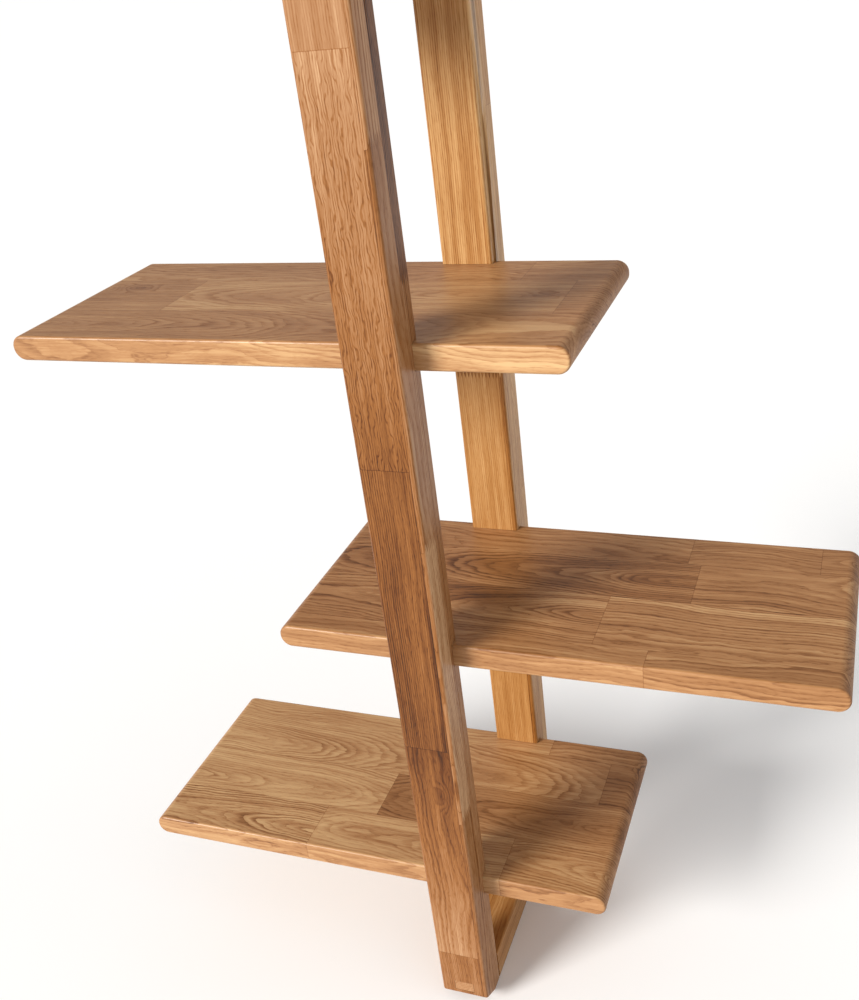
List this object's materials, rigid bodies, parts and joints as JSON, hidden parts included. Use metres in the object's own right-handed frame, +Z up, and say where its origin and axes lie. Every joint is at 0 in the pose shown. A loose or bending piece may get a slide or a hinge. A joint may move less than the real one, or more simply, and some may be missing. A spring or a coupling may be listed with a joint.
{
  "type": "ladder shelf",
  "caption": "Solid oak ladder shelf: front and back posts joined at foot and head, with long planks let into both posts and staggered left and right.",
  "frame": {"origin": "on the floor, midway between the front and back posts, in the middle plane of the posts", "axes": "+X to the right, +Y back towards the wall, +Z up; the front post is on the -Y side"},
  "size_m": [0.848, 0.32, 1.37],
  "materials": {
    "post_oak": "oiled finger-laid oak, satin",
    "shelf_oak": "oiled stave oak panel, satin",
    "tenon_oak": "oiled oak end grain, satin",
    "dowel_beech": "bare beech, glued in"
  },
  "bodies": {
    "root": {"front_post": "post_oak", "back_post": "post_oak", "foot_bar": "post_oak", "head_bar": "post_oak", "foot_tenon_front": "tenon_oak", "foot_tenon_back": "tenon_oak", "head_tenon_front": "tenon_oak", "head_tenon_back": "tenon_oak", "shelf_1": "shelf_oak", "shelf_2": "shelf_oak", "shelf_3": "shelf_oak", "shelf_4": "shelf_oak", "dowel_1_front_left": "dowel_beech", "dowel_1_front_right": "dowel_beech", "dowel_1_back_left": "dowel_beech", "dowel_1_back_right": "dowel_beech", "dowel_2_front_left": "dowel_beech", "dowel_2_front_right": "dowel_beech", "dowel_2_back_left": "dowel_beech", "dowel_2_back_right": "dowel_beech", "dowel_3_front_left": "dowel_beech", "dowel_3_front_right": "dowel_beech", "dowel_3_back_left": "dowel_beech", "dowel_3_back_right": "dowel_beech", "dowel_4_front_left": "dowel_beech", "dowel_4_front_right": "dowel_beech", "dowel_4_back_left": "dowel_beech", "dowel_4_back_right": "dowel_beech"}
  },
  "joints": []
}
